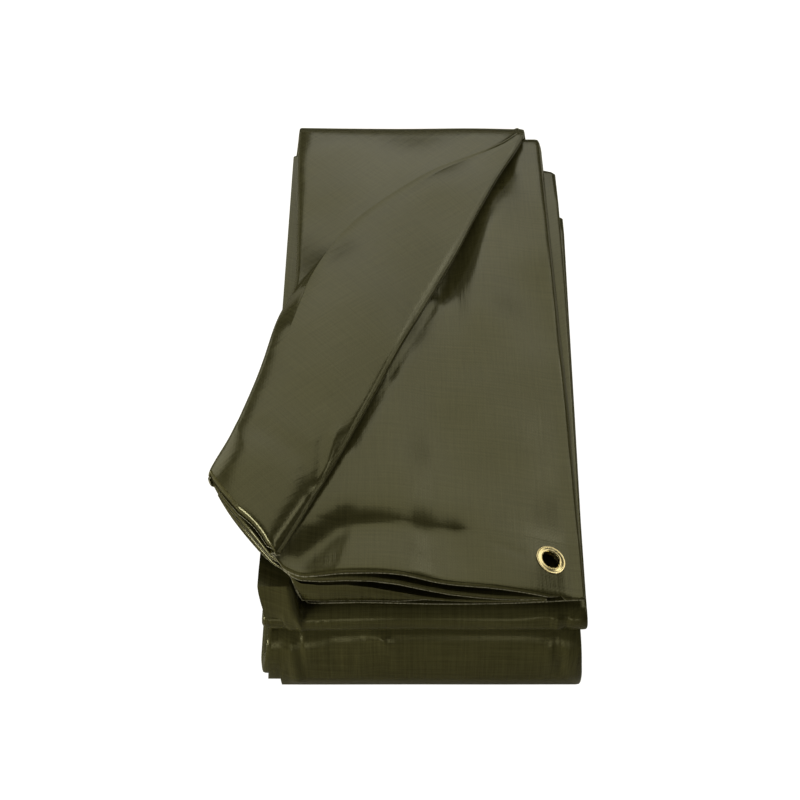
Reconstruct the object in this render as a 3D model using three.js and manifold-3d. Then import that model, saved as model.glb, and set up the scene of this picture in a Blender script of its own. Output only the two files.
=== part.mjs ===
// A folded tarpaulin: one coated sheet laid back and forth in five runs, its top layers turned
// back along a slanting crease, with the hem strip and brass eyelet of its front corner.
// Millimetres. X is across the bundle, Y is its length from the front hem, Z is up.
import * as THREE from "three";
import Module from "manifold-3d";

// Driving sizes
const CLOTH = 1.2; // thickness of the sheet
const HEM = 1.8; // thickness of the doubled hem strip
const GAP = 0.3; // clearance between pieces
const RUN_BACK = 570; // where the runs end and the back folds begin
const RUN_FRONT = -2; // where the runs end and the front folds begin
const FOLD_IN = 2.6; // reach of the tightest fold

// The sheet lies in six layers, and every run carries all six, counted from its outer face
const UNDER = 0;
const THIRD = 1;
const SECOND = 2;
const FACE = 3;
const TUCK = 4;
const FLAP = 5;

// One row for each run of the bundle, from the ground up: height of the under layer, rise from
// one layer to the next, where the outer layer and the others end at the left, and the right end.
// The top run's left ends follow the turned flap
const RUNS = [
  { base: CLOTH / 2, step: 7.3, outer: -124, left: -139, right: 133 },
  { base: 85.5, step: -7.4, outer: -123, left: -131, right: 134 },
  { base: 90.5, step: 2.4, outer: -124, left: -133, right: 138 },
  { base: 116.5, step: -2.3, outer: -136, left: -131, right: 136 },
  { base: 121.5, step: 6.1, right: 122 },
];

// One row for each fold that joins a run to the next: its end and its added reach a layer
const FOLDS = [
  { end: "front", grow: 4.6, tight: FLAP, rows: 6 },
  { end: "back", grow: 4.4, tight: UNDER, rows: 4 },
  { end: "front", grow: 1.7, tight: FLAP, rows: 5 },
  { end: "back", grow: 3.2, tight: UNDER, rows: 4 },
];

// Heights of the top run's layers along the front hem, by distance across
const FRONT = [
  { x: -178, under: 168, third: 171.5, second: 175, face: 176 },
  { x: -150, under: 168, third: 171.5, second: 175, face: 176 },
  { x: -128, under: 166, third: 169.5, second: 173, face: 177.5 },
  { x: -118, under: 161, third: 165.5, second: 170.5, face: 177 },
  { x: -110, under: 155, third: 160, second: 167, face: 176 },
  { x: -106, under: 147, third: 157, second: 165.5, face: 175.5 },
  { x: -100, under: 122, third: 153, second: 164.5, face: 175 },
  { x: -59, under: 121, third: 150, second: 164, face: 176 },
  { x: -18, under: 119, third: 138, second: 156, face: 173 },
  { x: 15, under: 118, third: 127, second: 143, face: 160 },
  { x: 65, under: 119, third: 124, second: 133, face: 149.5 },
  { x: 92, under: 120.5, third: 124.5, second: 130, face: 141.8 },
  { x: 110, under: 122, third: 125.3, second: 129, face: 135 },
  { x: 126, under: 123.5, third: 126, second: 128.5, face: 129 },
  { x: 140, under: 124, third: 126, second: 127, face: 126.5 },
];

// The turned-back flap, by distance from the front: where its open left side, its crest and the
// slanting crease on its right lie, and the heights of its crest and of its open side
const TURN = [
  { y: 10, open: -184, crest: -150, crease: -119, top: 193, side: 188 },
  { y: 78, open: -177, crest: -146, crease: -88, top: 196, side: 187 },
  { y: 120, open: -161, crest: -140, crease: -70, top: 196, side: 185 },
  { y: 165, open: -149, crest: -133, crease: -52, top: 194, side: 182 },
  { y: 212, open: -139, crest: -125, crease: -34, top: 191, side: 179 },
  { y: 273, open: -129, crest: -114, crease: -10, top: 187, side: 174 },
  { y: 333, open: -117, crest: -98, crease: 14, top: 182, side: 168 },
  { y: 394, open: -119, crest: -72, crease: 39, top: 175, side: 160 },
  { y: 440, open: -121, crest: -38, crease: 57, top: 169, side: 157 },
  { y: 500, open: -124, crest: 22, crease: 82, top: 161, side: 154 },
  { y: 550, open: -125, crest: 92, crease: 106, top: 155, side: 153 },
  { y: 570, open: -125, crest: 110, crease: 114, top: 152.5, side: 152 },
];

// Rows of the grid along the runs, as distances from the front, and the hem strip's share
const HEM_DEPTH = 52;
const TOP_ROWS = [550, 500, 440, 394, 333, 273, 212, 165, 120, 82, HEM_DEPTH + GAP, 26, 0];
const LOW_ROWS = [444, 221];
const HEM_LEFT = -88;
const HEM_RIGHT = 126;

// Columns of the grid: shares of the loose left part, then fixed places across
const LOOSE = [0, 0.33, 0.6, 0.73, 0.86, 0.93, 1];
const INNER_LOOSE = [0, 0.4, 0.75, 1];
const ANCHOR = -100;
const ACROSS = [-59, -18, 15, 65, 92];
const INNER_ACROSS = [-59, -10, 30];
const FACE_ACROSS = [HEM_LEFT - GAP, -59, -18, 15, 65, 92, HEM_RIGHT + GAP];
const FLAP_SHARES = [0, 0.06, 0.16, 0.3, 0.5, 0.6, 0.78, 1];

// The eyelet: where it sits on the hem, and its ring, barrel and washer
const EYELET = { x: 110, y: 32 };
const BORE_R = 8;
const BARREL_R = 8.8;
const FLANGE_R = 13.7;
const FLANGE = 1.1;
const WASHER_R = 13;
const WASHER = 0.9;
const RING_SIDES = 40;

const COLOURS = { cloth: 0x5a553a, hem: 0x5c573c, brass: 0xcdb25a };

const mix = (a, b, w) => a + (b - a) * w;
const clamp01 = (w) => Math.min(1, Math.max(0, w));

// A step from 0 to 1 that starts and ends level
function ease(w) {
  const u = clamp01(w);
  return u * u * (3 - 2 * u);
}

// A value of a table's column between its rows
function lookUp(table, key, column, at) {
  const last = table.length - 1;
  if (at <= table[0][key]) return table[0][column];
  if (at >= table[last][key]) return table[last][column];
  const i = table.findIndex((row) => row[key] > at);
  const [low, high] = [table[i - 1], table[i]];
  return mix(low[column], high[column], (at - low[key]) / (high[key] - low[key]));
}

// The hem of the top run: straight, and swept back along the turned flap's mouth
function hemLine(x) {
  if (x > -95) return 0;
  if (x > -119) return 10 * ((-95 - x) / 24) ** 1.5;
  return 10 + (-119 - x) * 1.15;
}

// Height of a layer of the top run
function topHeight(layer, x, y) {
  const level = ["under", "third", "second", "face", "face", "face"][layer];
  const over = [0, 0, 0, 0, 2.6, 6.4][layer];
  const back = RUNS[4].base + RUNS[4].step * layer;
  const front = ease((RUN_BACK - y) / RUN_BACK);
  const plainHeight = (at) => mix(back, lookUp(FRONT, "x", level, at) + over, front);
  if (layer !== FLAP) return plainHeight(x);
  const [crease, crest] = [lookUp(TURN, "y", "crease", y), lookUp(TURN, "y", "crest", y)];
  const [top, side] = [lookUp(TURN, "y", "top", y), lookUp(TURN, "y", "side", y)];
  if (x < crest) return mix(top, side, ease((crest - x) / 45));
  const rise = Math.sin((Math.PI / 2) * clamp01((crease - x) / (crease - crest)));
  return mix(plainHeight(crease), top, rise ** 0.8);
}

// The middle bundle's top layer is pulled up at the front left corner
function cornerRise(x, y) {
  return 34 * ease((-103 - x) / 22) * ease(1 - y / 150);
}

// Where a layer ends at the left and at the right, at a distance from the front
function leftEnd(layer, run, y) {
  if (run < 4) {
    if (layer === UNDER) return RUNS[run].outer;
    return RUNS[run].left + [0, 2, 0, 9, 9, 0][layer];
  }
  if (layer === FACE || layer === TUCK) return mix(-121, -112, clamp01(y / 300));
  return lookUp(TURN, "y", "open", y) + [7, 4, 0, 0, 0, 0][layer];
}

function rightEnd(layer, run, y) {
  if (run === 4 && layer > FACE) return lookUp(TURN, "y", "crease", y);
  if (run === 4 && layer !== SECOND && layer !== THIRD) return mix(133, 130, ease(y / RUN_BACK));
  const end = RUNS[run].right - [0, 20, 20, 0, 8, 8][layer];
  if (run === 4) return end - 6 * clamp01(y / 26);
  return end + 12 * clamp01(y / 444) - 24 * ease((y - 444) / 90);
}

// Where a grid column crosses a layer
function columnX(layer, column, run, y) {
  if (column.right) return rightEnd(layer, run, y);
  if (column.share === undefined) return Math.min(column.x, rightEnd(layer, run, y) - 3);
  const left = leftEnd(layer, run, y);
  if (layer !== TUCK && layer !== FLAP) return mix(left, column.anchor, column.share);
  const right = rightEnd(layer, run, y);
  if (layer === TUCK) return mix(left, right, column.share);
  const crest = run === 4 ? lookUp(TURN, "y", "crest", y) : mix(left, right, 0.95);
  if (column.share < 0.5) return mix(right, crest, column.share * 2);
  return mix(crest, left, column.share * 2 - 1);
}

// A point of one layer on a row of a run
function runPoint(layer, column, run, at) {
  const forward = run % 2 === 0;
  let y = forward ? mix(RUN_BACK, RUN_FRONT, at) : mix(RUN_FRONT, RUN_BACK, at);
  let x = columnX(layer, column, run, y);
  let z = RUNS[run].base + RUNS[run].step * layer;
  if (run === 3 && layer === UNDER) z += cornerRise(x, y);
  if (run === 4) {
    const hem = hemLine(columnX(layer, column, run, 10));
    y = mix(RUN_BACK, hem, at);
    x = columnX(layer, column, run, y);
    z = topHeight(layer, x, y);
  }
  return new THREE.Vector3(x, y, z);
}

// A point of one layer on a row of the fold after a run
function foldPoint(layer, column, run, at) {
  const fold = FOLDS[run];
  const before = runPoint(layer, column, run, 1);
  const after = runPoint(layer, column, run + 1, 0);
  const reach = FOLD_IN + fold.grow * Math.abs(layer - fold.tight);
  const turn = Math.PI * at;
  const side = fold.end === "front" ? -1 : 1;
  const lift = run === 2 && layer === UNDER ? cornerRise(after.x, RUN_FRONT) : 0;
  return new THREE.Vector3(
    mix(before.x, after.x, ease(at)),
    mix(before.y, after.y, at) + side * reach * Math.sin(turn),
    mix(before.z, after.z - lift, (1 - Math.cos(turn)) / 2) + lift * clamp01(2 * at - 1),
  );
}

const layerPoint = (layer, column, row) =>
  row.fold ? foldPoint(layer, column, row.run, row.at) : runPoint(layer, column, row.run, row.at);

// Rows of the whole grid, from the hidden back end to the front hem
function gridRows() {
  const rows = [];
  for (let run = 0; run < 4; run += 1) {
    const fromBack = LOW_ROWS.map((y) => (RUN_BACK - y) / (RUN_BACK - RUN_FRONT));
    const fromFront = fromBack.map((at) => 1 - at).toReversed();
    for (const at of [0, ...(run % 2 ? fromFront : fromBack), 1]) rows.push({ run, at });
    for (let i = 1; i < FOLDS[run].rows; i += 1) {
      rows.push({ run, fold: true, at: i / FOLDS[run].rows });
    }
  }
  rows.push({ run: 4, at: 0 });
  for (const y of TOP_ROWS) rows.push({ run: 4, at: 1 - y / RUN_BACK, y });
  return rows;
}

// Columns of the whole grid, along the sheet from its free left edge to its other free edge
function gridColumns() {
  const reach = (shares, xs) => [
    ...shares.map((share) => ({ share, anchor: ANCHOR })),
    ...xs.map((x) => ({ x })),
    { right: true },
  ];
  const wide = reach(LOOSE, ACROSS);
  const inner = reach(INNER_LOOSE, INNER_ACROSS);
  const face = [
    { share: 0, anchor: HEM_LEFT - GAP },
    { share: 0.5, anchor: HEM_LEFT - GAP },
    ...FACE_ACROSS.map((x) => ({ x })),
    { right: true },
  ];
  const tuck = [0, 0.5, 1].map((share) => ({ share }));
  const flap = FLAP_SHARES.map((share) => ({ share }));
  const flat = (layer, list) => list.map((column) => ({ layer, column }));
  const turned = (from, to, side, bulge, parts) =>
    Array.from({ length: parts - 1 }, (_, i) => ({ from, to, side, bulge, share: (i + 1) / parts }));
  return [
    ...flat(UNDER, wide),
    ...turned(UNDER, FACE, 1, 6, 4),
    ...flat(FACE, face.toReversed()),
    ...turned(FACE, TUCK, -1, 2, 3),
    ...flat(TUCK, tuck),
    ...turned(TUCK, FLAP, 1, 3, 3),
    ...flat(FLAP, flap),
    ...turned(FLAP, SECOND, -1, 5, 4),
    ...flat(SECOND, inner),
    ...turned(SECOND, THIRD, 1, 3, 3),
    ...flat(THIRD, inner.toReversed()),
  ];
}

// A point of the sheet where a grid row and column meet
function sheetPoint(row, spot) {
  if (spot.from === undefined) return layerPoint(spot.layer, spot.column, row);
  const end = (layer) => {
    if (spot.side > 0) return { right: true };
    return { share: layer === FLAP ? 1 : 0, anchor: ANCHOR };
  };
  const from = layerPoint(spot.from, end(spot.from), row);
  const to = layerPoint(spot.to, end(spot.to), row);
  const turn = Math.PI * spot.share;
  const point = from.clone().lerp(to, (1 - Math.cos(turn)) / 2);
  point.x += spot.side * spot.bulge * Math.sin(turn);
  return point;
}

// A closed sheet of even thickness from a grid of middle points, without its left-out cells
function sheetGeometry(points, thickness, isLeftOut) {
  const rows = points.length;
  const columns = points[0].length;
  const hasCell = (r, c) =>
    r >= 0 && c >= 0 && r < rows - 1 && c < columns - 1 && !isLeftOut(r, c);
  const corners = (r, c) => [[r, c], [r + 1, c], [r + 1, c + 1], [r, c + 1]];
  const normals = points.map((line) => line.map(() => new THREE.Vector3()));
  for (let r = 0; r < rows - 1; r += 1) {
    for (let c = 0; c < columns - 1; c += 1) {
      if (!hasCell(r, c)) continue;
      const [a, b, d, e] = corners(r, c).map(([i, j]) => points[i][j]);
      const across = d.clone().sub(a);
      const normal = across.cross(e.clone().sub(b)).normalize();
      for (const [i, j] of corners(r, c)) normals[i][j].add(normal);
    }
  }
  const index = new Map();
  const positions = [];
  const vertex = (r, c, side) => {
    const key = `${r},${c},${side}`;
    if (!index.has(key)) {
      const offset = normals[r][c].clone().setLength((side * thickness) / 2);
      index.set(key, positions.length / 3);
      positions.push(...points[r][c].clone().add(offset).toArray());
    }
    return index.get(key);
  };
  const faces = [];
  const quad = (a, b, c, d) => faces.push(a, b, c, a, c, d);
  for (let r = 0; r < rows - 1; r += 1) {
    for (let c = 0; c < columns - 1; c += 1) {
      if (!hasCell(r, c)) continue;
      const [a, b, d, e] = corners(r, c);
      quad(vertex(...a, 1), vertex(...b, 1), vertex(...d, 1), vertex(...e, 1));
      quad(vertex(...a, -1), vertex(...e, -1), vertex(...d, -1), vertex(...b, -1));
      const edges = [
        [a, b, hasCell(r, c - 1)],
        [b, d, hasCell(r + 1, c)],
        [d, e, hasCell(r, c + 1)],
        [e, a, hasCell(r - 1, c)],
      ];
      for (const [p, q, joined] of edges) {
        if (!joined) quad(vertex(...p, 1), vertex(...p, -1), vertex(...q, -1), vertex(...q, 1));
      }
    }
  }
  const geometry = new THREE.BufferGeometry();
  geometry.setAttribute("position", new THREE.Float32BufferAttribute(positions, 3));
  geometry.setIndex(faces);
  geometry.computeVertexNormals();
  return geometry;
}

// The tarpaulin, with the place of the hem strip left out of its face layer
function tarpGeometry() {
  const rows = gridRows();
  const spots = gridColumns();
  const points = rows.map((row) => spots.map((spot) => sheetPoint(row, spot)));
  const inStrip = (r, c) => {
    const [a, b] = [spots[c], spots[c + 1]];
    if (a.layer !== FACE || b.layer !== FACE || rows[r].run !== 4 || rows[r].fold) return false;
    const within = (x) => x !== undefined && x >= HEM_LEFT - GAP && x <= HEM_RIGHT + GAP;
    return rows[r].y <= HEM_DEPTH + GAP && within(a.column.x) && within(b.column.x);
  };
  return sheetGeometry(points, CLOTH, inStrip);
}

// A point on the face layer near the front
const facePoint = (x, y) => new THREE.Vector3(x, y, topHeight(FACE, x, y));

// The frame of the eyelet on the sloping hem
function eyeletFrame() {
  const centre = facePoint(EYELET.x, EYELET.y);
  const across = facePoint(EYELET.x + 8, EYELET.y).sub(facePoint(EYELET.x - 8, EYELET.y));
  const along = facePoint(EYELET.x, EYELET.y + 8).sub(facePoint(EYELET.x, EYELET.y - 8));
  const normal = across.clone().cross(along).normalize();
  const turn = new THREE.Quaternion().setFromUnitVectors(new THREE.Vector3(0, 0, 1), normal);
  return new THREE.Matrix4().compose(centre, turn, new THREE.Vector3(1, 1, 1));
}

const wasm = await Module();
wasm.setup();

function toSolid(geometry) {
  return new wasm.Manifold(
    new wasm.Mesh({
      numProp: 3,
      vertProperties: new Float32Array(geometry.getAttribute("position").array),
      triVerts: new Uint32Array(geometry.getIndex().array),
    }),
  );
}

function toGeometry(solid) {
  const mesh = solid.getMesh();
  const geometry = new THREE.BufferGeometry();
  geometry.setAttribute("position", new THREE.BufferAttribute(mesh.vertProperties, 3));
  geometry.setIndex(new THREE.BufferAttribute(mesh.triVerts, 1));
  geometry.computeVertexNormals();
  return geometry;
}

// The hem strip, with the hole that the eyelet's barrel passes
function hemGeometry(frame) {
  const xs = [HEM_LEFT, -59, -18, 15, 40, 65, 92, HEM_RIGHT];
  const ys = [HEM_DEPTH, 26, 0];
  const points = ys.map((y) => xs.toReversed().map((x) => facePoint(x, y)));
  const strip = toSolid(sheetGeometry(points, HEM, () => false));
  const hole = wasm.Manifold.cylinder(12, BARREL_R + GAP, BARREL_R + GAP, RING_SIDES, true);
  return toGeometry(strip.subtract(hole.transform(frame.elements)));
}

// A turned ring from its outline of radius and height
function ringGeometry(outline, frame) {
  const profile = outline.map(([radius, height]) => new THREE.Vector2(radius, height));
  profile.push(profile[0].clone());
  return new THREE.LatheGeometry(profile, RING_SIDES).rotateX(Math.PI / 2).applyMatrix4(frame);
}

// The eyelet: a rolled flange over the hem and a barrel down through it
function eyeletGeometry(frame) {
  const seat = HEM / 2 + GAP;
  const foot = -seat - WASHER - 0.6;
  return ringGeometry(
    [
      [BORE_R, foot],
      [BARREL_R, foot],
      [BARREL_R, seat],
      [FLANGE_R, seat],
      [FLANGE_R, seat + 0.5],
      [FLANGE_R - 1, seat + FLANGE],
      [BORE_R + 1.4, seat + FLANGE],
      [BORE_R + 0.3, seat + FLANGE - 0.5],
    ],
    frame,
  );
}

// The washer under the hem
function washerGeometry(frame) {
  const top = -HEM / 2 - GAP;
  return ringGeometry(
    [
      [BARREL_R + GAP, top - WASHER],
      [WASHER_R, top - WASHER],
      [WASHER_R, top],
      [BARREL_R + GAP, top],
    ],
    frame,
  );
}

const frame = eyeletFrame();
const cloth = { roughness: 0.42, metalness: 0 };
const brass = { color: COLOURS.brass, roughness: 0.25, metalness: 1 };
const pieces = [
  ["tarp_sheet", tarpGeometry(), { ...cloth, color: COLOURS.cloth }],
  ["hem_strip", hemGeometry(frame), { ...cloth, color: COLOURS.hem }],
  ["eyelet", eyeletGeometry(frame), brass],
  ["eyelet_washer", washerGeometry(frame), brass],
];

const tarp = new THREE.Group();
for (const [name, geometry, look] of pieces) {
  const mesh = new THREE.Mesh(geometry, new THREE.MeshStandardMaterial(look));
  mesh.name = name;
  tarp.add(mesh);
}

// The part stands on the ground, with the middle of its box over the origin
const box = new THREE.Box3().setFromObject(tarp);
const middle = box.getCenter(new THREE.Vector3());
for (const mesh of tarp.children) {
  mesh.position.set(-middle.x, -middle.y, -box.min.z);
}

export default tarp;
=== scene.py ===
# A folded tarpaulin of olive coated cloth: a bundle of five runs with its top layers turned back
# along a slanting crease, a welded hem and a brass eyelet at its front corner.
# Shapes are worked out in millimetres, with x across the bundle, y back from its front hem and z up
# from the ground, and then moved to the frame.
import math

import bpy
import numpy as np
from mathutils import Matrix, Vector


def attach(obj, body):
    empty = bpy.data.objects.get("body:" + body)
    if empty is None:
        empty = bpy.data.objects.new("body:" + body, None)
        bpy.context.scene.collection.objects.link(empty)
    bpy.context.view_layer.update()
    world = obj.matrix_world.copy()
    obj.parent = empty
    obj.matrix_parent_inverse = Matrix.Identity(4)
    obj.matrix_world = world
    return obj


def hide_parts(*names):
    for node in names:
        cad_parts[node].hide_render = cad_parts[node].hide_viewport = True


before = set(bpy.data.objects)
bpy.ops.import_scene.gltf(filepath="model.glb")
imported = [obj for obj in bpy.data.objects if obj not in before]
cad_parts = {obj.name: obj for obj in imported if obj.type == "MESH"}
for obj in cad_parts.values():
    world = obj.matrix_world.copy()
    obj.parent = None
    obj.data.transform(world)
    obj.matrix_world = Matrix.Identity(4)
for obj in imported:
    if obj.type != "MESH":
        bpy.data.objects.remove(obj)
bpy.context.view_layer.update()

# The bundle's place in the frame, and the scale of the shapes
MM = 0.001
SHIFT = np.array([11.70, -283.50, 0.0])

# Camera: down at the angle of the photograph, from in front of the hem
CAMERA_PLACE = (-0.0053, -0.8895, 1.134)
CAMERA_DOWN = 50.8
CAMERA_LENS = 62.21


def place_camera():
    lens = bpy.data.cameras.new("camera")
    lens.lens = CAMERA_LENS
    lens.sensor_width = 36
    lens.shift_x = -0.00125
    camera = bpy.data.objects.new("camera", lens)
    camera.location = CAMERA_PLACE
    camera.rotation_euler = (math.radians(90 - CAMERA_DOWN), 0, 0)
    bpy.context.scene.collection.objects.link(camera)
    bpy.context.scene.camera = camera


place_camera()

# Sizes of the cloth, in millimetres
CLOTH = 1.2
HEM = 1.8
GAP = 0.3
SEAM = 0.05
RUN_BACK = 570
RUN_FRONT = -2
FOLD_IN = 2.6
HEM_DEPTH = 52
HEM_LEFT = -88
HEM_RIGHT = 126
ANCHOR = -100

# Layers of each run, counted from its outer face, and the run with the flap
UNDER, THIRD, SECOND, FACE, TUCK, FLAP = range(6)
TOP_RUN = 4


def table(keys, rows):
    """A table with named columns"""
    columns = zip(*rows)
    return {key: np.array(column, float) for key, column in zip(keys.split(), columns)}


# Each run: height of its under layer, rise a layer, left ends and right end
RUNS = table("base step outer left right", [
    (0.6, 7.3, -124, -139, 141),
    (85.5, -7.4, -123, -131, 134),
    (90.5, 2.4, -124, -133, 138),
    (116.5, -2.3, -136, -131, 136),
    (121.5, 6.1, -122, -125, 122),
])

# Each fold between two runs: the side it bulges to, its added reach a layer, its tightest layer
FOLDS = table("side grow tight", [
    (-1, 3.6, FLAP),
    (1, 4.4, UNDER),
    (-1, 1.7, FLAP),
    (1, 3.2, UNDER),
])

# Heights of the top run's layers along the front hem, by distance across
FRONT = table("x under third second face", [
    (-178, 162, 167, 178.5, 180),
    (-150, 157.5, 169.5, 181.5, 182),
    (-134, 156, 167, 180, 180.5),
    (-126, 157.5, 166, 175, 179),
    (-118, 157, 164, 171.5, 177),
    (-112, 156, 161, 168, 176),
    (-107, 151, 157.5, 165, 175.5),
    (-101, 128, 152.5, 163.5, 175),
    (-97, 123, 151, 163, 175),
    (-84, 121, 150.5, 162.5, 175),
    (-59, 121, 150, 163.5, 176),
    (-18, 119, 138, 156, 173),
    (15, 118, 127, 143, 160),
    (65, 119, 124, 133, 149.5),
    (92, 120.5, 124.5, 130, 141.8),
    (110, 122, 125.3, 129, 135),
    (126, 123.5, 126, 128.5, 129),
    (140, 124, 126, 127, 126.5),
])

# The turned flap by distance from the front: its open side, crest and crease, the heights of
# crest and open side, and how far the slope left of the crest reaches
TURN = table("y open crest crease top side slope", [
    (10, -184, -150, -119, 199, 194, 40),
    (78, -177, -146, -88, 200, 190, 40),
    (120, -161, -140, -70, 198, 184, 40),
    (165, -149, -133, -52, 195, 181, 40),
    (212, -139, -125, -34, 192, 178, 40),
    (273, -129, -114, -10, 187, 174, 26),
    (333, -117, -98, 14, 182, 168, 12),
    (394, -119, -72, 39, 175, 160, 7),
    (440, -121, -38, 57, 169, 157, 5),
    (500, -124, 22, 82, 161, 154, 4),
    (550, -125, 92, 106, 155, 153, 4),
    (570, -125, 110, 114, 152.5, 152, 4),
])


def mix(a, b, share):
    return a + (b - a) * share


def clamp01(share):
    return np.clip(share, 0, 1)


def ease(share):
    """A step from 0 to 1 that starts and ends level"""
    u = clamp01(share)
    return u * u * (3 - 2 * u)


def read(source, key, column, at):
    """A column of a table between its rows, on a smooth curve through them"""
    xs, ys = source[key], source[column]
    steep = np.diff(ys) / np.diff(xs)
    tangents = np.concatenate([steep[:1], (steep[1:] + steep[:-1]) / 2, steep[-1:]])
    tangents[1:-1][steep[1:] * steep[:-1] <= 0] = 0
    i = np.clip(np.searchsorted(xs, at, side="right") - 1, 0, len(xs) - 2)
    width = xs[i + 1] - xs[i]
    t = clamp01((at - xs[i]) / width)
    rise = ys[i + 1] - ys[i]
    start, end = tangents[i] * width, tangents[i + 1] * width
    return ys[i] + t * start + t**2 * (3 * rise - 2 * start - end) + t**3 * (start + end - 2 * rise)


def turn(column, y):
    return read(TURN, "y", column, y)


# The slanting crease meets the front hem here, and the flap's mouth slants back from it
CREASE_FOOT = (-119, 10)
MOUTH_SLANT = 1.15
SWEEP_START = -95
SWEEP_BACK = 10


def hem_line(layer, x):
    """The hem of the top run: straight, and swept back along the flap's mouth"""
    foot = CREASE_FOOT[0]
    swept = SWEEP_BACK * clamp01((SWEEP_START - x) / (SWEEP_START - foot)) ** 1.5
    tucked = 10 * ease((x + 132) / 12) * ease((-98 - x) / 6) if layer == UNDER else 0
    return swept + tucked + np.maximum(0, foot - x) * MOUTH_SLANT


# What turns the face up into the flap adds to the height of its layers beside the crease
LEVELS = ("under", "third", "second", "face", "face", "face")
LEVEL_ADDED = (0, 0, 0, 0, 2.6, 6.4)


def plain_height(layer, x, y):
    """Height of a layer of the top run where it isn't turned up into the flap"""
    back = RUNS["base"][TOP_RUN] + RUNS["step"][TOP_RUN] * layer
    front = read(FRONT, "x", LEVELS[layer], x) + LEVEL_ADDED[layer]
    return mix(back, front, ease((RUN_BACK - y) / RUN_BACK))


# The flap's crest is round at the front, and further back a crisp ridge with a thin bead on it
CRISP_FROM = 240
CRISP_OVER = 90
BEAD_HEIGHT = 1.5
BEAD_WIDTH = 1.6


def top_height(layer, x, y):
    """Height of a layer of the top run, the flap with its crest and both its slopes"""
    if layer != FLAP:
        return plain_height(layer, x, y)
    crease, crest, top = turn("crease", y), turn("crest", y), turn("top", y)
    fall = (crest - x) / turn("slope", y)
    crisp = ease((y - CRISP_FROM) / CRISP_OVER)
    rounded, steep = clamp01(fall) ** 2.5, 1 - (1 - clamp01(fall)) ** 1.7
    left = mix(top, turn("side", y), mix(rounded, steep, crisp))
    to_crest = clamp01((crease - x) / (crease - crest))
    rise = np.sin(np.pi / 2 * to_crest) ** mix(0.5, 0.8, ease(y / 90))
    right = mix(plain_height(FLAP, crease, y), top, rise)
    bead = BEAD_HEIGHT * crisp * np.exp(-((x - crest) / BEAD_WIDTH) ** 2)
    return np.where(x < crest, left, right) + bead


CORNER_RISE = 34
CORNER_REACH = 150


def corner_rise(x, y):
    """The middle bundle's top layer is pulled up at the front left corner"""
    return CORNER_RISE * ease((-100 - x) / 10) * ease(1 - y / CORNER_REACH)


# How far the ends of each layer stay behind their run's, and the top run's behind the open side
LEFT_BEHIND = (0, 2, 0, 9, 9, 0)
MOUTH_BEHIND = (7, 4, 0, 0, 0, 0)
RIGHT_BEHIND = (0, 20, 20, 0, 8, 8)

# Right ends of the lower runs: how much wider they get and over what length, and how far they step
# back in at a place near the back
WIDER = table("more over step at", [
    (16, 480, 24, 493),
    (16, 480, 24, 493),
    (16, 480, 24, 493),
    (12, 444, 18, 545),
])
STEP_OVER = 8


def left_end(layer, run, y):
    """The left end of a layer"""
    if run < TOP_RUN and layer == UNDER:
        return RUNS["outer"][run] + 0 * y
    if run < TOP_RUN:
        return RUNS["left"][run] + LEFT_BEHIND[layer] + 0 * y
    if layer in (FACE, TUCK):
        return mix(-121, -112, clamp01(y / 300))
    return turn("open", y) + MOUTH_BEHIND[layer]


def right_end(layer, run, y):
    """The right end of a layer"""
    if run == TOP_RUN and layer > FACE:
        return turn("crease", y)
    if run == TOP_RUN and layer not in (SECOND, THIRD):
        spread = 5 * clamp01(y / 200) if layer == UNDER else 0
        return mix(133, 130, ease(y / RUN_BACK)) + spread
    end = RUNS["right"][run] - RIGHT_BEHIND[layer]
    if run == TOP_RUN:
        return end - 6 * clamp01(y / 26)
    more, over, step, at = (WIDER[key][run] for key in ("more", "over", "step", "at"))
    return end + more * clamp01(y / over) - step * ease((y - at) / STEP_OVER)


def column_x(layer, column, run, y):
    """Where a column of the grid crosses a layer: at a share of it or at a fixed place"""
    right = right_end(layer, run, y)
    kind, value = column
    if kind == "right":
        return right + 0 * y
    if kind == "fixed":
        return np.minimum(value, right - 3 - 0.2 * (132 - value))
    left = left_end(layer, run, y)
    if layer not in (TUCK, FLAP):
        anchor = HEM_LEFT - SEAM if layer == FACE else ANCHOR
        return mix(left, anchor, value)
    if layer == TUCK:
        return mix(left, right, value)
    crest = turn("crest", y) if run == TOP_RUN else mix(left, right, 0.95)
    return np.where(value < 0.5, mix(right, crest, value * 2), mix(crest, left, value * 2 - 1))


def run_points(layer, column, run, at):
    """Points of one layer along a run"""
    y = mix(RUN_FRONT, RUN_BACK, at) if run % 2 else mix(RUN_BACK, RUN_FRONT, at)
    x = column_x(layer, column, run, y)
    z = RUNS["base"][run] + RUNS["step"][run] * layer + 0 * y
    if run == 3 and layer == UNDER:
        z = z + corner_rise(x, y)
    if run == TOP_RUN:
        hem = hem_line(layer, column_x(layer, column, run, np.array(float(CREASE_FOOT[1]))))
        y = mix(RUN_BACK, hem, at)
        x = column_x(layer, column, run, y)
        z = top_height(layer, x, y)
    return np.stack(np.broadcast_arrays(x, y, z), -1)


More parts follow.
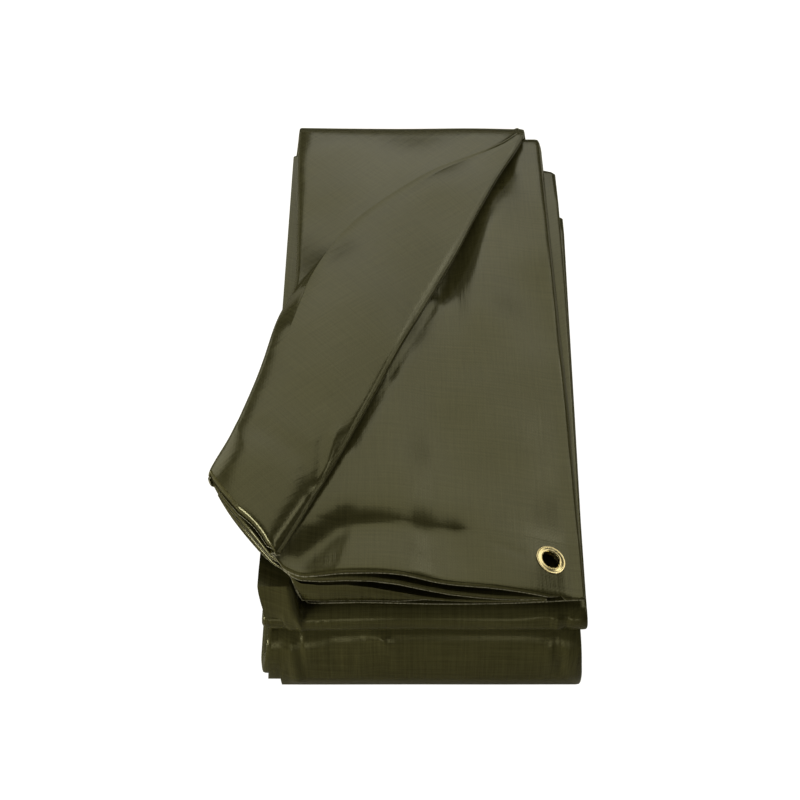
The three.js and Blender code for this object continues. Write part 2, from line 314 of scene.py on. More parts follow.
def fold_points(layer, column, fold, at):
    """Points of one layer round the fold after a run"""
    before = run_points(layer, column, fold, np.array([1.0]))
    after = run_points(layer, column, fold + 1, np.array([0.0]))
    reach = FOLD_IN + FOLDS["grow"][fold] * abs(layer - FOLDS["tight"][fold])
    lift = corner_rise(after[0, 0], RUN_FRONT) if fold == 2 and layer == UNDER else 0
    x = mix(before[0, 0], after[0, 0], ease(at))
    roundness = 0.8 if fold % 2 else mix(0.5, 1.15, ease((at - 0.45) / 0.4))
    bulge = np.sin(np.pi * at) ** roundness
    y = mix(before[0, 1], after[0, 1], at) + FOLDS["side"][fold] * reach * bulge
    z = mix(before[0, 2], after[0, 2] - lift, (1 - np.cos(np.pi * at)) / 2)
    return np.stack([x, y, z + lift * clamp01(2 * at - 1)], -1)


# Rows of the grid: the lower runs' at places from the front, so many for each fold, and the top
# run's at places from its hem
LOW_ROWS = (570, 520, 501, 498, 495, 492, 470, 350, 220, 110, 40, -2)
MIDDLE_ROWS = (-2, 12, 40, 90, 150, 260, 380, 500, 544, 547, 550, 553, 556, 570)
RUN_ROWS = (LOW_ROWS, LOW_ROWS[::-1], LOW_ROWS, MIDDLE_ROWS)
FOLD_ROWS = (18, 10, 14, 10)
HEM_ROWS = np.concatenate([[HEM_DEPTH], np.linspace(HEM_DEPTH - 0.5, 4, 14), [2, 0]])
TOP_ROWS = np.concatenate([
    np.linspace(RUN_BACK, HEM_DEPTH + 4, 72), [HEM_DEPTH + 0.5, HEM_DEPTH + SEAM], HEM_ROWS[1:],
])
LIP_ROWS = 7


def layer_points(layer, column):
    """Points of one layer from the hidden back end to the front hem"""
    parts = []
    for run, rows in enumerate(RUN_ROWS):
        at = (np.array(rows) - rows[0]) / (rows[-1] - rows[0])
        parts.append(run_points(layer, column, run, at))
        parts.append(fold_points(layer, column, run, np.linspace(0, 1, FOLD_ROWS[run] + 2)[1:-1]))
    parts.append(run_points(layer, column, TOP_RUN, 1 - TOP_ROWS / RUN_BACK))
    parts.append(lip_points(layer, parts[-1][-1]))
    return np.concatenate(parts)


# A turned-down lip: how far each of its rows stands out and how much of the drop it has made
LIP_OUT = np.array([1.2, 0.6, 1.6, 2.2, 2.2, 1.8, 3.4])
LIP_DOWN = np.array([-0.03, 0.05, 0.2, 0.45, 0.7, 0.97, 1])
LIP_AT = np.arange(1, LIP_ROWS + 1) / LIP_ROWS
LIP = 4.5
LIP_ROOM = 2.5
FULL_DROP = 9


def lip_reach(drop):
    """How far the rows of a lip stand out, less for a small drop"""
    return clamp01(drop / FULL_DROP) * LIP_OUT + 0.6 * LIP_AT


def lip_drop(layer, x, z):
    """How far the hem of a top layer is turned down, and how much it belongs to the flap's mouth"""
    lower = ("", "under", "third", "second", "", "second")[layer]
    mouth = ease((CREASE_FOOT[0] + 2 - x) / 8)
    if layer in (UNDER, TUCK):
        return 0 * x, mouth
    below = read(FRONT, "x", lower, x)
    if layer == FACE:
        below = np.where(x > 118, read(FRONT, "x", "under", x), below)
        lip = clamp01((z - below - LIP_ROOM) / LIP) * LIP
        return lip * ease((x - CREASE_FOOT[0]) / 6), mouth
    opening = np.maximum(0, z - below)
    inside = 1 if layer == FLAP else ease((x + 186) / 9)
    drop = 0.5 * opening * mouth * inside
    if layer == SECOND:
        drop = drop + clamp01((opening - LIP_ROOM) / LIP) * LIP * ease((x + 112) / 6)
    if layer == THIRD:
        band = np.maximum(0, opening - mix(4, 9, ease((x + 98) / 8)))
        hemmed = np.maximum(band, 1.2 * clamp01(opening - LIP_ROOM))
        drop = drop + hemmed * ease((x + 108.5) / 1.5)
    return drop, mouth


def lip_points(layer, hem):
    """The front hem's last few millimetres"""
    drop, mouth = lip_drop(layer, hem[0], hem[2])
    out = lip_reach(drop)
    return np.stack([hem[0] - 0.7 * out * mouth, hem[1] - out, hem[2] - drop * LIP_DOWN], -1)


TOP_START = sum(len(rows) for rows in RUN_ROWS) + sum(FOLD_ROWS)
HEM_COLUMNS = [HEM_LEFT, *np.linspace(HEM_LEFT + 0.5, HEM_RIGHT - 0.5, 56), HEM_RIGHT]
ACROSS_FACE = [HEM_LEFT - SEAM] + HEM_COLUMNS[1:-1] + [HEM_RIGHT + SEAM]


def section_spots():
    """Columns of the grid in their order along the sheet's section"""
    left = [*np.linspace(0, 0.8, 11), 0.85, 0.885, 0.905, 0.92, 0.95, 1]
    wide = [("share", s) for s in left]
    spread = [*np.linspace(-96, -20, 20), *np.linspace(-8, 100, 10), *np.linspace(104, 129, 8)]
    wide += [("fixed", x) for x in spread] + [("right", 0)]
    inner = [("share", s) for s in left]
    inner += [("fixed", x) for x in np.linspace(-84, 88, 9)] + [("right", 0)]
    face = [("share", s) for s in (*np.linspace(0, 1, 10)[:-1], 0.985)]
    face += [("fixed", x) for x in (*ACROSS_FACE, HEM_RIGHT + 0.5)] + [("right", 0)]
    tuck = [("share", s) for s in np.linspace(0, 1, 6)]
    rolled = 0.494 * np.linspace(0, 1, 23) ** 1.3
    beyond = 0.506 + 0.494 * np.linspace(0, 1, 19) ** 1.5
    flap = [("share", s) for s in np.concatenate([rolled, [0.5], beyond])]

    def flat(layer, columns):
        return [(layer, column) for column in columns]

    def turned(start, end, side, bulge, parts):
        return [(start, end, side, bulge, i / parts) for i in range(1, parts)]

    return (
        flat(UNDER, wide) + turned(UNDER, FACE, 1, 4, 9)
        + flat(FACE, face[::-1]) + turned(FACE, TUCK, -1, 2, 4)
        + flat(TUCK, tuck) + turned(TUCK, FLAP, 1, 3, 6)
        + flat(FLAP, flap) + turned(FLAP, SECOND, -1, 2.5, 7)
        + flat(SECOND, inner) + turned(SECOND, THIRD, 1, 3, 5)
        + flat(THIRD, inner[::-1])
    )


def spot_points(spot):
    """Points of one column of the grid along the whole sheet"""
    if len(spot) == 2:
        return layer_points(*spot)
    start, end, side, bulge, share = spot

    def edge(layer):
        if side > 0:
            return ("right", 0)
        return ("share", 1 if layer == FLAP else 0)

    a, b = layer_points(start, edge(start)), layer_points(end, edge(end))
    points = mix(a, b, (1 - math.cos(math.pi * share)) / 2)
    points[:, 0] += side * bulge * math.sin(math.pi * share) ** 0.4
    return points


# Creases of the face layer and of the flap: from one end to the other in millimetres across and
# from the front, half width, how much wider they are on the near side, and height above the cloth
FACE_CREASES = table("x0 y0 x1 y1 width near height", [
    (-102, 12, -68, 41, 14, 1.8, -7.0),
    (-68, 41, 22, 46, 14, 2.6, -5.8),
    (30, 47, 84, 33, 2.5, 1, -0.6),
    (78, 470, 60, 320, 32, 0.6, 6.6),
    (92, 520, 22, 338, 12, 1, -4.8),
    (14, 318, -27, 216, 7, 1, -3.2),
    (-31, 204, -62, 130, 5.5, 1, -2.0),
    (40, 250, 60, 180, 30, 1, 0.6),
])
FLAP_CREASES = table("x0 y0 x1 y1 width near height", [
    (-74, 134, -84, 62, 3.2, 1, 2.3),
    (-79, 128, -82, 104, 1.6, 1, 0.8),
    (-83, 96, -89, 70, 1.6, 1, 0.9),
    (-134, 122, -106, 103, 11, 1, -1.5),
    (-100, 96, -86, 62, 8, 1, -1.4),
    (-86, 150, -92, 118, 3, 1, 0.7),
    (-96, 120, -90, 80, 4, 1, 0.6),
    (-60, 250, -75, 190, 12, 1, 0.5),
])

# Creases and dents of the bundle fronts, from one end to the other across and up
FRONT_CREASES = table("x0 y0 x1 y1 width height", [
    (-70, 66, 90, 68, 11, -2.6),
    (-105, 33, 130, 32, 12, 2.6),
    (-44, 84, -33, 79, 2.4, 2.6),
    (-31, 78, -23, 68, 2.6, 2.2),
    (-50, 76, -36, 66, 4, -1.8),
    (-112, 74, -108, 30, 5, 1.6),
    (-100, 80, -97, 60, 3, 1.7),
    (-92, 80, -89, 62, 2.6, 1.3),
    (-84, 78, -80, 52, 2.6, 1.0),
    (-66, 66, -62, 46, 3, 1.0),
    (-54, 64, -52, 44, 3, 0.9),
    (110, 70, 114, 50, 2.6, 1.0),
    (118, 74, 123, 48, 3, -1.4),
    (127, 78, 130, 40, 2.6, 1.5),
    (-116, 114, -112, 98, 3, 1.6),
    (-104, 116, -101, 98, 2.4, 1.5),
    (-96, 115, -94, 100, 2.4, 1.2),
    (-88, 114, -86, 100, 2.2, 1.0),
    (-79, 113, -77, 102, 2.2, 0.8),
    (-110, 88, 120, 88, 6, -1.0),
    (112, 120, 117, 96, 2.6, 1.6),
    (121, 120, 124, 92, 2.6, -1.6),
    (129, 120, 132, 94, 2.4, 1.5),
    (72, 117, 110, 108, 5, -2.0),
    (80, 112, 116, 112, 3, 1.4),
])


def crease_height(creases, x, y):
    """Soft troughs and ridges along short lines, one side wider where it is given"""
    ridges, troughs = 0 * x, 0 * x
    near = creases.get("near", np.ones(len(creases["x0"])))
    lines = (creases[key] for key in ("x0", "y0", "x1", "y1", "width", "height"))
    for x0, y0, x1, y1, width, tall, wider in zip(*lines, near):
        length = math.hypot(x1 - x0, y1 - y0)
        along = ((x - x0) * (x1 - x0) + (y - y0) * (y1 - y0)) / length
        off = ((x - x0) * (y1 - y0) - (y - y0) * (x1 - x0)) / length
        off = np.where(off > 0, off / wider, off)
        past = 0.7 * np.maximum(0, np.maximum(-along, along - length))
        shape = np.exp(-(off**2 + past**2) / width**2)
        if tall > 0:
            ridges = ridges + tall * shape
        else:
            troughs = np.minimum(troughs, tall * shape)
    return ridges + troughs


# Slow waves of the whole stack: direction across and along, wave length, height and start
WAVES = table("across along length height start", [
    (0.35, 0.94, 210, 0.8, 0.4),
    (0.94, -0.35, 165, 0.6, 1.9),
    (0.71, 0.71, 96, 0.35, 3.1),
    (-0.5, 0.87, 61, 0.2, 4.4),
])


def stack_waves(x, y):
    height = 0 * x
    for across, along, length, tall, start in zip(*WAVES.values()):
        height = height + tall * np.sin(2 * np.pi * (across * x + along * y) / length + start)
    return height


# The fronts of the bundles are creased below these heights, and drawn in above the first one
FRONT_LOW = 88
FRONT_HIGH = 123


def sheet_grid():
    """Middle points of the sheet, row by row, with the creases of its top layers and fronts"""
    spots = section_spots()
    points = np.stack([spot_points(spot) for spot in spots], 1)
    for c, spot in enumerate(spots):
        if len(spot) != 2 or spot[0] not in (FACE, FLAP):
            continue
        creases = FACE_CREASES if spot[0] == FACE else FLAP_CREASES
        x, y = points[TOP_START:, c, 0], points[TOP_START:, c, 1]
        points[TOP_START:, c, 2] += crease_height(creases, x, y)
    x, y, z = points[..., 0], points[..., 1], points[..., 2]
    outer = np.array([spot[0] == UNDER for spot in spots]) & (y < RUN_FRONT)
    drawn_in = RUN_FRONT + (y - RUN_FRONT) * (1 - 0.4 * ease((-104 - x) / 20))
    y = np.where(outer & (z > FRONT_LOW), drawn_in, y)
    creased = (outer & (z < FRONT_HIGH)) * clamp01((RUN_FRONT - 2 - y) / 6)
    y = y - crease_height(FRONT_CREASES, x, z) * creased
    points[..., 1] = y
    points[..., 2] = z + stack_waves(x, y) * clamp01(z / 60)
    return spots, points


# The flap is turned over along the crease, so its weave lies at twice the crease's slant
CREASE_SLANT = 22.6


def cloth_map(spots, points):
    """Where each grid point lies on the cut cloth: across and along the weave, in metres"""
    steps = np.linalg.norm(np.diff(points, axis=0), axis=2)
    along = np.concatenate([0 * steps[:1], np.cumsum(steps, axis=0)])
    along = RUN_BACK - (along - along[TOP_START])
    across = points[..., 0].copy()
    for c, spot in enumerate(spots):
        if len(spot) == 5:
            side, bulge, share = spot[2:]
            across[:, c] += side * bulge * (2 * share - math.sin(math.pi * share))
        elif spot[0] == FACE:
            along[TOP_START:, c] = points[TOP_START:, c, 1]
        elif spot[0] == FLAP:
            lean = 2 * math.radians(CREASE_SLANT)
            x, y = (points[TOP_START:, c, i] - CREASE_FOOT[i] for i in range(2))
            across[TOP_START:, c] = -x * math.cos(lean) + y * math.sin(lean)
            along[TOP_START:, c] = x * math.sin(lean) + y * math.cos(lean)
    return np.stack([across, along], -1) * MM


def sheet_mesh(name, points, places, thickness, left_out=None):
    """A closed sheet from a grid of middle points: faces, and walls round its edges"""
    rows, columns = points.shape[:2]
    kept = np.ones((rows - 1, columns - 1), bool)
    if left_out is not None:
        kept &= ~left_out
    a, b = points[:-1, :-1], points[1:, :-1]
    d, e = points[1:, 1:], points[:-1, 1:]
    normal = np.cross(d - a, e - b)
    normal /= np.maximum(np.linalg.norm(normal, axis=2, keepdims=True), 1e-9)
    normal = normal * kept[..., None]
    total = np.zeros_like(points)
    total[:-1, :-1] += normal
    total[1:, :-1] += normal
    total[1:, 1:] += normal
    total[:-1, 1:] += normal
    total /= np.maximum(np.linalg.norm(total, axis=2, keepdims=True), 1e-9)
    offset = total * np.asarray(thickness)[..., None] / 2
    count = rows * columns
    vertices = np.concatenate([(points + offset).reshape(-1, 3), (points - offset).reshape(-1, 3)])
    index = np.arange(count).reshape(rows, columns)
    a, b = index[:-1, :-1][kept], index[1:, :-1][kept]
    d, e = index[1:, 1:][kept], index[:-1, 1:][kept]
    faces = [np.stack([a, b, d, e], 1), np.stack([a, e, d, b], 1) + count]
    padded = np.pad(kept, 1)
    around = (
        (padded[1:-1, :-2], index[:-1, :-1], index[1:, :-1]),
        (padded[2:, 1:-1], index[1:, :-1], index[1:, 1:]),
        (padded[1:-1, 2:], index[1:, 1:], index[:-1, 1:]),
        (padded[:-2, 1:-1], index[:-1, 1:], index[:-1, :-1]),
    )
    walls = []
    for joined, p, q in around:
        edge = kept & ~joined
        p, q = p[edge], q[edge]
        walls.append(np.stack([p, p + count, q + count, q], 1))
    walls = np.concatenate(walls)
    quads = np.concatenate(faces + [walls])
    uv = np.concatenate([places.reshape(-1, 2)] * 2)
    return make_piece(name, (vertices + SHIFT) * MM, quads, uv, wall_start=len(quads) - len(walls))


# Edges that bend by more degrees than this are drawn sharp
SHARP_FROM = 48


def make_piece(name, vertices, faces, uv, wall_start=None):
    """An object from its points and quads, with its cloth map and the edge walls' own material"""
    mesh = bpy.data.meshes.new(name)
    mesh.vertices.add(len(vertices))
    mesh.vertices.foreach_set("co", vertices.astype(np.float32).ravel())
    mesh.loops.add(faces.size)
    mesh.loops.foreach_set("vertex_index", faces.astype(np.int32).ravel())
    mesh.polygons.add(len(faces))
    mesh.polygons.foreach_set("loop_start", np.arange(0, faces.size, 4, dtype=np.int32))
    slots = np.zeros(len(faces), np.int32)
    if wall_start is not None:
        slots[wall_start:] = 1
    layer = mesh.uv_layers.new(name="cloth")
    layer.data.foreach_set("uv", uv[faces.ravel()].astype(np.float32).ravel())
    mesh.update(calc_edges=True)
    mesh.polygons.foreach_set("use_smooth", slots == 0)
    mesh.set_sharp_from_angle(angle=math.radians(SHARP_FROM))
    mesh.validate()
    piece = bpy.data.objects.new(name, mesh)
    bpy.context.scene.collection.objects.link(piece)
    mesh.materials.append(None)
    if wall_start is not None:
        mesh.materials.append(None)
        mesh.polygons.foreach_set("material_index", slots)
    return piece


# The eyelet sits on the sloping hem
EYELET = (110, 32)
BORE_R = 8
BARREL_R = 8.8
RING_SIDES = 96
SLOPE_SPAN = 8


def face_point(x, y):
    height = top_height(FACE, np.array(float(x)), np.array(float(y)))
    return np.array([x, y, float(height)])


def eyelet_frame():
    """Centre of the eyelet and its axes, the third one out of the cloth"""
    x, y = EYELET
    across = face_point(x + SLOPE_SPAN, y) - face_point(x - SLOPE_SPAN, y)
    along = face_point(x, y + SLOPE_SPAN) - face_point(x, y - SLOPE_SPAN)
    up = np.cross(across, along)
    up /= np.linalg.norm(up)
    side = across / np.linalg.norm(across)
    return face_point(x, y), np.stack([side, np.cross(up, side), up])


def turned_ring(name, outline):
    """A ring turned from its closed outline of radius and height round the eyelet's axis"""
    centre, axes = eyelet_frame()
    angles = np.linspace(0, 2 * np.pi, RING_SIDES, endpoint=False)
    outline = np.array(outline, float)
    radius, height = outline[:, :1], outline[:, 1:]
    local = np.stack([
        radius * np.cos(angles), radius * np.sin(angles), height + 0 * angles,
    ], -1)
    vertices = centre + local.reshape(-1, 3) @ axes
    rows = len(outline)
    index = np.arange(rows * RING_SIDES).reshape(rows, RING_SIDES)
    below, beside = np.roll(index, -1, 0), np.roll(index, -1, 1)
    corner = np.roll(below, -1, 1)
    faces = np.stack([index, below, corner, beside], -1).reshape(-1, 4)[:, ::-1]
    length = np.concatenate([[0], np.cumsum(np.linalg.norm(np.diff(outline, axis=0), axis=1))])
    uv = np.stack(np.meshgrid(angles * 11, length, indexing="xy"), -1).reshape(-1, 2) * MM
    return make_piece(name, (vertices + SHIFT) * MM, faces, uv)


def arc(radius, height, size, start, end, steps):
    """Points on a small arc of an outline, in degrees from outwards to up"""
    angles = np.radians(np.linspace(start, end, steps))
    return [(radius + size * math.cos(a), height + size * math.sin(a)) for a in angles]


def build_eyelet():
    """Rolled brass flange with its barrel, and the washer under the hem"""
    seat = HEM / 2 + GAP
    foot = -seat - 1.5
    flange = turned_ring("brass_eyelet", [
        (BORE_R + 0.1, foot),
        (BARREL_R - 0.1, foot),
        (BARREL_R, foot + 0.2),
        (BARREL_R, seat - 0.1),
        (BARREL_R + 0.4, seat),
        (13.2, seat),
        *arc(13.1, seat + 0.45, 0.5, -80, 110, 9),
        (12.3, seat + 0.78),
        (11.6, seat + 0.86),
        (10.9, seat + 1.1),
        (10.2, seat + 1.35),
        *arc(9.3, seat + 0.15, 1.35, 75, 178, 10),
        (BORE_R, seat - 0.6),
    ])
    washer = turned_ring("brass_washer", [
        (BARREL_R + GAP, -seat - 0.9),
        (12.8, -seat - 0.9),
        (13, -seat - 0.7),
        (13, -seat - 0.1),
        (12.9, -seat),
        (BARREL_R + GAP, -seat),
    ])
    return flange, washer


def hem_piece():
    """The doubled hem strip with the hole for the barrel, cut out by a boolean"""
    x, y = np.meshgrid(HEM_COLUMNS[::-1], HEM_ROWS)
    height = top_height(FACE, x, y) + crease_height(FACE_CREASES, x, y)
    points = np.stack([x, y, height + stack_waves(x, y)], -1)
    drop = lip_drop(FACE, x[-1], top_height(FACE, x[-1], y[-1]))[0]
    out = lip_reach(drop[:, None]).T
    lip = np.stack([x[-1] + 0 * out, -out, points[-1, :, 2] - drop * LIP_DOWN[:, None]], -1)
    points = np.concatenate([points, lip])
    x, y = points[..., 0], points[..., 1]
    thickness = HEM + 0 * x
    piece = sheet_mesh("hem_cloth", points, np.stack([x, y], -1) * MM, thickness)
    centre, axes = eyelet_frame()
    angles = np.linspace(0, 2 * np.pi, RING_SIDES, endpoint=False)
    reach = BARREL_R + GAP
    rim = [reach * math.cos(a) * axes[0] + reach * math.sin(a) * axes[1] for a in angles]
    cutter_mesh = bpy.data.meshes.new("barrel_hole")
    top = [tuple((centre + p + 9 * axes[2] + SHIFT) * MM) for p in rim]
    bottom = [tuple((centre + p - 9 * axes[2] + SHIFT) * MM) for p in rim]
    count = len(rim)
    sides = [(i, i + count, (i + 1) % count + count, (i + 1) % count) for i in range(count)]
    faces = [tuple(range(count)), tuple(range(2 * count - 1, count - 1, -1))]
    cutter_mesh.from_pydata(top + bottom, [], faces + sides)
    cutter = bpy.data.objects.new("barrel_hole", cutter_mesh)
    bpy.context.scene.collection.objects.link(cutter)
    cut = piece.modifiers.new("barrel hole", "BOOLEAN")
    cut.operation = "DIFFERENCE"
    cut.object = cutter
    cut.solver = "EXACT"
    plain = bake(piece)
    piece.modifiers.clear()
    piece.data = plain
    bpy.data.objects.remove(cutter)
    return piece


def bake(piece):
    """The piece's mesh with its modifiers worked in"""
    bpy.context.view_layer.update()
    ready = piece.evaluated_get(bpy.context.evaluated_depsgraph_get())
    return bpy.data.meshes.new_from_object(ready)


def build_cloth():
    """The one folded sheet, with the place of the hem strip left out of its face layer"""
    spots, points = sheet_grid()
    places = cloth_map(spots, points)
    front = np.concatenate([np.full(TOP_START, 1e3), TOP_ROWS, np.zeros(LIP_ROWS)])
    inside = np.array([
        spot[0] == FACE and spot[1] in [("fixed", x) for x in ACROSS_FACE] for spot in spots
    ])
    strip = (front[:-1, None] <= HEM_DEPTH + SEAM) & (inside[:-1] & inside[1:])[None]
    thickness = mix(CLOTH, HEM, clamp01((HEM_DEPTH + 10 - front) / 8))
    thickness = thickness[:, None] + 0 * points[..., 0]
    return sheet_mesh("tarp_cloth", points, places, thickness, strip)


class Wire:
    """A shader socket that takes part in sums"""

    def __init__(self, shader, socket):
        self.shader = shader
        self.socket = socket

    def sum(self, operation, *others):
        return self.shader.node("ShaderNodeMath", {"operation": operation}, *others)["Value"]

    def __add__(self, other):
        return self.sum("ADD", self, other)

    def __radd__(self, other):
        return self.sum("ADD", other, self)

    def __sub__(self, other):
        return self.sum("SUBTRACT", self, other)

    def __mul__(self, other):
        return self.sum("MULTIPLY", self, other)

    def __truediv__(self, other):
        return self.sum("DIVIDE", self, other)

    def __pow__(self, other):
        return self.sum("POWER", self, other)

    def sine(self):
        return self.sum("SINE", self)

    def size(self):
        return self.sum("ABSOLUTE", self)

    def above(self, limit):
        return self.sum("MAXIMUM", self, limit)

    def below(self, limit):
        return self.sum("MINIMUM", self, limit)


class Made:
    """A shader node whose outputs are read by name"""

    def __init__(self, shader, node):
        self.shader = shader
        self.node = node

    def __getitem__(self, name):
        return Wire(self.shader, self.node.outputs[name])


class Shader:
    """A material or world under construction"""

    def __init__(self, owner):
        owner.use_nodes = True
        self.tree = owner.node_tree
        self.tree.nodes.clear()

    def node(self, kind, settings, *values, **named):
        """A node of one type: its settings first, then the values or links of its sockets"""
        node = self.tree.nodes.new(kind)
        for key, value in settings.items():
            setattr(node, key, value)
        for i, value in enumerate(values):
            self.feed(node.inputs[i], value)
        for key, value in named.items():
            self.feed(self.find(node, key), value)
        return Made(self, node)

    def find(self, node, key):
        wanted = key.replace("_", " ").lower()
        return next(s for s in node.inputs if s.enabled and s.name.lower() == wanted)

    def feed(self, socket, value):
        if isinstance(value, Wire):
            self.tree.links.new(value.socket, socket)
        else:
            socket.default_value = value

    def blend(self, share, low, high):
        """A colour between two, by a share"""
        made = self.node("ShaderNodeMix", {"data_type": "RGBA"}, Factor=share, A=low, B=high)
        return Wire(self, next(s for s in made.node.outputs if s.enabled))

    def noise(self, place, scale, detail=2.0, rough=0.5):
        made = self.node("ShaderNodeTexNoise", {}, Vector=place, Scale=scale, Detail=detail,
                         Roughness=rough)
        return made["Fac"]

    def vector(self, x, y):
        return self.node("ShaderNodeCombineXYZ", {}, x, y)["Vector"]


# The coated cloth: width of one woven tape in metres, and its colours
TAPE = 0.0016
OLIVE_DEEP = (0.036, 0.032, 0.009, 1)
OLIVE_PALE = (0.080, 0.073, 0.025, 1)
# The cut edges' colours are lighter than the cloth: partly the bare tape, partly a painted
# highlight that draws the edges as thin light lines
EDGE_DEEP = (0.10, 0.094, 0.05, 1)
EDGE_TAPE_AND_HIGHLIGHT = (0.33, 0.31, 0.20, 1)

# Its relief in millimetres
GROOVES = 0.03
CROSSINGS = 0.012
STREAKS = 0.045
CRINKLES = 0.03
WIDE_STREAKS = 0.2


def coated_weave(name, edge=False):
    """Olive tape cloth under a clear, slightly crinkled coating"""
    material = bpy.data.materials.new(name)
    shader = Shader(material)
    place = shader.node("ShaderNodeUVMap", {"uv_map": "cloth"})["UV"]
    parts = shader.node("ShaderNodeSeparateXYZ", {}, place)
    across, along = parts["X"], parts["Y"]
    solid = shader.node("ShaderNodeTexCoord", {})["Object"]
    drift = shader.noise(place, 60.0) * 0.0012
    warp = (across + drift) / TAPE
    weft = (along + drift) / TAPE
    turn_warp = (warp * math.pi).sine()
    turn_weft = (weft * math.pi).sine()
    grooves = (turn_warp.size() ** 0.5 + turn_weft.size() ** 0.5) * 0.5
    over = turn_warp * turn_weft
    warp_streaks = shader.noise(shader.vector(warp * 0.8, weft * 0.03), 1.0, 3.0)
    weft_streaks = shader.noise(shader.vector(warp * 0.03, weft * 0.8), 1.0, 3.0)
    wide_streaks = shader.noise(shader.vector(warp * 0.22, weft * 0.016), 1.0, 2.0)
    streaks = warp_streaks + weft_streaks - 1.0
    clouds = shader.noise(solid, 9.0, 3.0)
    crinkle = shader.noise(solid, 420.0, 3.0, 0.6)
    worn = 0.45 + streaks * 1.1 + (grooves - 0.6) * 0.35 + (clouds - 0.5) * 0.9
    colour = shader.blend(worn.above(0.0).below(1.0), OLIVE_DEEP, OLIVE_PALE)
    roughness = 0.20 + (clouds - 0.5) * 0.10 + streaks * 0.10
    # The coating is thicker and greyer towards the back
    back = shader.node("ShaderNodeSeparateXYZ", {}, solid)["Y"]
    grey = ((shader.noise(solid, 5.0, 2.0) - 0.46) * 0.8 + back * 0.55).above(0.0).below(0.32)
    # The cut edges show the ribs of the tapes, in colours lighter than the cloth that are partly
    # the bare tape and partly a painted highlight drawing the edges as thin light lines
    if edge:
        ribs = shader.noise(shader.vector(warp * 1.1, weft * 1.1), 1.0, 1.0)
        colour = shader.blend((ribs * 3.0 - 1.0).above(0.0).below(1.0), EDGE_DEEP, EDGE_TAPE_AND_HIGHLIGHT)
    height = grooves * GROOVES + over * CROSSINGS + streaks * STREAKS
    height = height + crinkle * CRINKLES + wide_streaks * WIDE_STREAKS
    bump = shader.node("ShaderNodeBump", {}, Strength=1.0, Distance=0.001, Height=height)
    surface = shader.node("ShaderNodeBsdfPrincipled", {}, Base_Color=colour, Roughness=roughness,
                          IOR=1.5, Specular_Tint=(1.0, 0.94, 0.48, 1), Coat_Weight=grey,
                          Coat_Roughness=0.15, Normal=bump["Normal"])
    shader.node("ShaderNodeOutputMaterial", {}, Surface=surface["BSDF"])
    return material


def rolled_brass():
    """Polished brass, slightly uneven from the punch"""
    material = bpy.data.materials.new("rolled brass")
    shader = Shader(material)
    solid = shader.node("ShaderNodeTexCoord", {})["Object"]
    fine = shader.noise(solid, 900.0, 3.0)
    slow = shader.noise(solid, 120.0, 2.0)
    colour = shader.blend(slow, (0.72, 0.56, 0.22, 1), (0.86, 0.74, 0.40, 1))
    roughness = 0.2 + fine * 0.12
    bump = shader.node("ShaderNodeBump", {}, Strength=0.2, Distance=0.0001, Height=fine)
    surface = shader.node("ShaderNodeBsdfPrincipled", {}, Base_Color=colour, Roughness=roughness,
                          Metallic=1.0, Normal=bump["Normal"])
    shader.node("ShaderNodeOutputMaterial", {}, Surface=surface["BSDF"])
    return material


# The floor lies just under the bundle, so that the two faces don't flicker
FLOOR_HALF = 6.0
FLOOR_HEIGHT = -0.0004


def pale_floor():
    """A plain white table that stays white under the soft lights"""
    material = bpy.data.materials.new("pale floor")
    shader = Shader(material)
    seen = shader.node("ShaderNodeLightPath", {})["Is Camera Ray"]
    matte = shader.node("ShaderNodeBsdfDiffuse", {}, Color=(0.42, 0.40, 0.30, 1))
    glow = shader.node("ShaderNodeEmission", {}, Color=(1, 1, 1, 1), Strength=seen * 0.95)
    both = shader.node("ShaderNodeAddShader", {}, matte["BSDF"], glow["Emission"])
    shader.node("ShaderNodeOutputMaterial", {}, Surface=both["Shader"])
    mesh = bpy.data.meshes.new("floor")
    sides = ((-1, -1), (1, -1), (1, 1), (-1, 1))
    corners = [(x * FLOOR_HALF, y * FLOOR_HALF, FLOOR_HEIGHT) for x, y in sides]
    mesh.from_pydata(corners, [], [(0, 1, 2, 3)])
    mesh.materials.append(material)
    floor = bpy.data.objects.new("floor", mesh)
    bpy.context.scene.collection.objects.link(floor)


def studio_air():
    """White behind the object, and a soft grey room that is brighter above and behind"""
    world = bpy.data.worlds.new("studio")
    bpy.context.scene.world = world
    shader = Shader(world)
    seen = shader.node("ShaderNodeLightPath", {})["Is Camera Ray"]
    facing = shader.node("ShaderNodeTexCoord", {})["Generated"]
    way = shader.node("ShaderNodeSeparateXYZ", {}, facing)
    up = way["Z"].above(0.0)
    behind = way["Y"].above(0.0)
    room = 0.03 + up * 0.02 + behind * up * 0.11
    grey = shader.node("ShaderNodeBackground", {}, Color=(1, 1, 1, 1), Strength=room)
    white = shader.node("ShaderNodeBackground", {}, Color=(1, 1, 1, 1), Strength=1.0)
    air = shader.node("ShaderNodeMixShader", {}, seen, grey["Background"], white["Background"])
    shader.node("ShaderNodeOutputWorld", {}, Surface=air["Shader"])


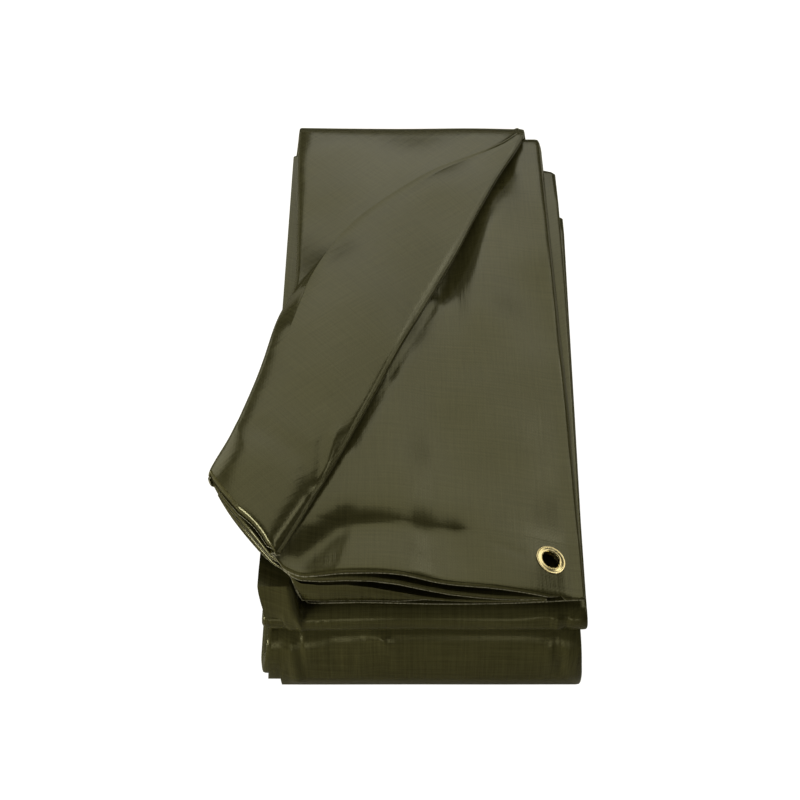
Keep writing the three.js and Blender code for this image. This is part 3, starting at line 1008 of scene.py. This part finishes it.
# The lights: where each stands, what it faces, its width and height in metres and its power in
# watts. The back one makes the sheen of the top, and the small ones the glints on folds.
SOFTBOXES = (
    ("back softbox", (0.48, 1.16, 1.78), (0.1, 0.0, 0.15), (2.5, 1.9), 20.3),
    ("crease glint", (1.07, 0.86, 0.82), (0, -0.1, 0.18), (0.24, 0.24), 0.35),
    ("side softbox", (-1.35, 1.15, 0.95), (-0.1, 0, 0.15), (0.9, 0.9), 4.5),
    ("left softbox", (-1.3, -0.85, 0.32), (0, -0.1, 0.08), (0.6, 0.45), 15),
    ("front softbox", (-0.1, -1.15, 0.24), (0, -0.3, 0.08), (1.3, 0.28), 0.05),
    ("front left glint", (-0.15, -1.15, 0.24), (0, -0.3, 0.08), (0.13, 0.28), 0.22),
    ("front right glint", (0.19, -1.15, 0.24), (0, -0.3, 0.08), (0.10, 0.28), 0.16),
    ("right softbox", (1.5, -0.1, 0.8), (0, 0, 0.12), (0.9, 0.35), 2.5),
)


def softbox(name, place, aim, size, power):
    """A soft rectangular light"""
    light = bpy.data.lights.new(name, "AREA")
    light.shape = "RECTANGLE"
    light.size, light.size_y = size
    light.energy = power
    box = bpy.data.objects.new(name, light)
    box.location = place
    box.rotation_euler = (Vector(aim) - Vector(place)).to_track_quat("-Z", "Y").to_euler()
    bpy.context.scene.collection.objects.link(box)


def finish_looks(pieces, cloth, edge, brass):
    """Put the materials into the pieces' slots"""
    for piece in pieces:
        slots = piece.data.materials
        slots[0] = brass if piece.name.startswith("brass") else cloth
        if len(slots) > 1:
            slots[1] = edge


tarp = build_cloth()
hem = hem_piece()
eyelet, washer = build_eyelet()
finish_looks([tarp, hem, eyelet, washer], coated_weave("coated weave"),
             coated_weave("cut edge", edge=True), rolled_brass())
for piece, node, finish in (
    (tarp, "tarp_sheet", "coated_cloth"),
    (hem, "hem_strip", "coated_cloth"),
    (eyelet, "eyelet", "brass"),
    (washer, "eyelet_washer", "brass"),
):
    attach(piece, "root")
    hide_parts(node)

pale_floor()
studio_air()
for row in SOFTBOXES:
    softbox(*row)
bpy.context.scene.view_settings.view_transform = "Standard"
